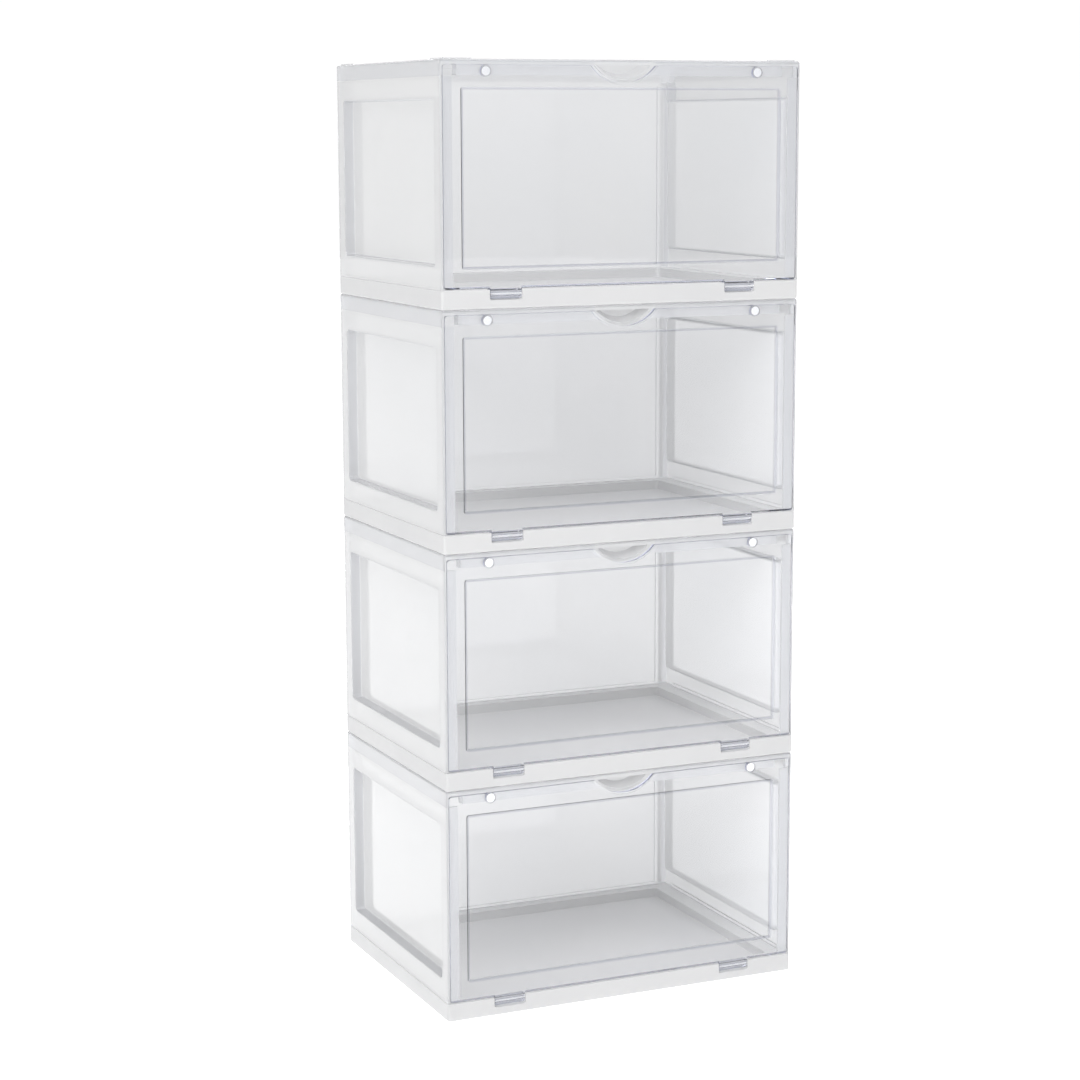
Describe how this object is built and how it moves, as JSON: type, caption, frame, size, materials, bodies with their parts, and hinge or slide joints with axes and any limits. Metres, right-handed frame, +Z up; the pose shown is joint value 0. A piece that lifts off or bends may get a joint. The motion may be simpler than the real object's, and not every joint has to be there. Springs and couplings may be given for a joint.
{
  "type": "shoe box",
  "caption": "Stack of clear drop-front shoe boxes with white bases; each box lifts off and has a hinged front door with a finger notch.",
  "frame": {"origin": "middle of the lowest box's foot, on the surface it stands on", "axes": "+Z up; the doors face -Y; +X is to the right as seen from the front"},
  "size_m": [0.362, 0.268, 0.881],
  "materials": {
    "white_tray": "white, faintly translucent, semi-gloss",
    "clear_panel": "clear, slightly milky, glossy",
    "clear_lid": "clear, slightly grey, glossy",
    "clear_door": "clear with faint blue edges, glossy",
    "magnet": "nickel plated",
    "white_pin": "white nylon rod"
  },
  "bodies": {
    "box_1": {"box_1_base_tray": "white_tray", "box_1_side_panel_left": "clear_panel", "box_1_side_panel_right": "clear_panel", "box_1_back_panel": "clear_panel", "box_1_lid": "clear_lid", "box_1_lid_magnets": "magnet", "box_1_hinge_pins": "white_pin"},
    "door_1": {"box_1_door": "clear_door", "box_1_door_magnets": "magnet"},
    "box_2": {"box_2_base_tray": "white_tray", "box_2_side_panel_left": "clear_panel", "box_2_side_panel_right": "clear_panel", "box_2_back_panel": "clear_panel", "box_2_lid": "clear_lid", "box_2_lid_magnets": "magnet", "box_2_hinge_pins": "white_pin"},
    "door_2": {"box_2_door": "clear_door", "box_2_door_magnets": "magnet"},
    "box_3": {"box_3_base_tray": "white_tray", "box_3_side_panel_left": "clear_panel", "box_3_side_panel_right": "clear_panel", "box_3_back_panel": "clear_panel", "box_3_lid": "clear_lid", "box_3_lid_magnets": "magnet", "box_3_hinge_pins": "white_pin"},
    "door_3": {"box_3_door": "clear_door", "box_3_door_magnets": "magnet"},
    "box_4": {"box_4_base_tray": "white_tray", "box_4_side_panel_left": "clear_panel", "box_4_side_panel_right": "clear_panel", "box_4_back_panel": "clear_panel", "box_4_lid": "clear_lid", "box_4_lid_magnets": "magnet", "box_4_hinge_pins": "white_pin"},
    "door_4": {"box_4_door": "clear_door", "box_4_door_magnets": "magnet"}
  },
  "joints": [
    {"name": "box_2_lift_off", "type": "slide", "parent": "box_1", "child": "box_2", "axis": [0, 0, 1], "range_m": [0, 0.03]},
    {"name": "box_3_lift_off", "type": "slide", "parent": "box_2", "child": "box_3", "axis": [0, 0, 1], "range_m": [0, 0.03]},
    {"name": "box_4_lift_off", "type": "slide", "parent": "box_3", "child": "box_4", "axis": [0, 0, 1], "range_m": [0, 0.03]},
    {"name": "door_1_hinge", "type": "hinge", "parent": "box_1", "child": "door_1", "pos_m": [0, -0.1292, 0.0132], "axis": [1, 0, 0], "range_deg": [0, 90]},
    {"name": "door_2_hinge", "type": "hinge", "parent": "box_2", "child": "door_2", "pos_m": [0, -0.1292, 0.2332], "axis": [1, 0, 0], "range_deg": [0, 90]},
    {"name": "door_3_hinge", "type": "hinge", "parent": "box_3", "child": "door_3", "pos_m": [0, -0.1292, 0.4532], "axis": [1, 0, 0], "range_deg": [0, 90]},
    {"name": "door_4_hinge", "type": "hinge", "parent": "box_4", "child": "door_4", "pos_m": [0, -0.1292, 0.6732], "axis": [1, 0, 0], "range_deg": [0, 90]}
  ]
}
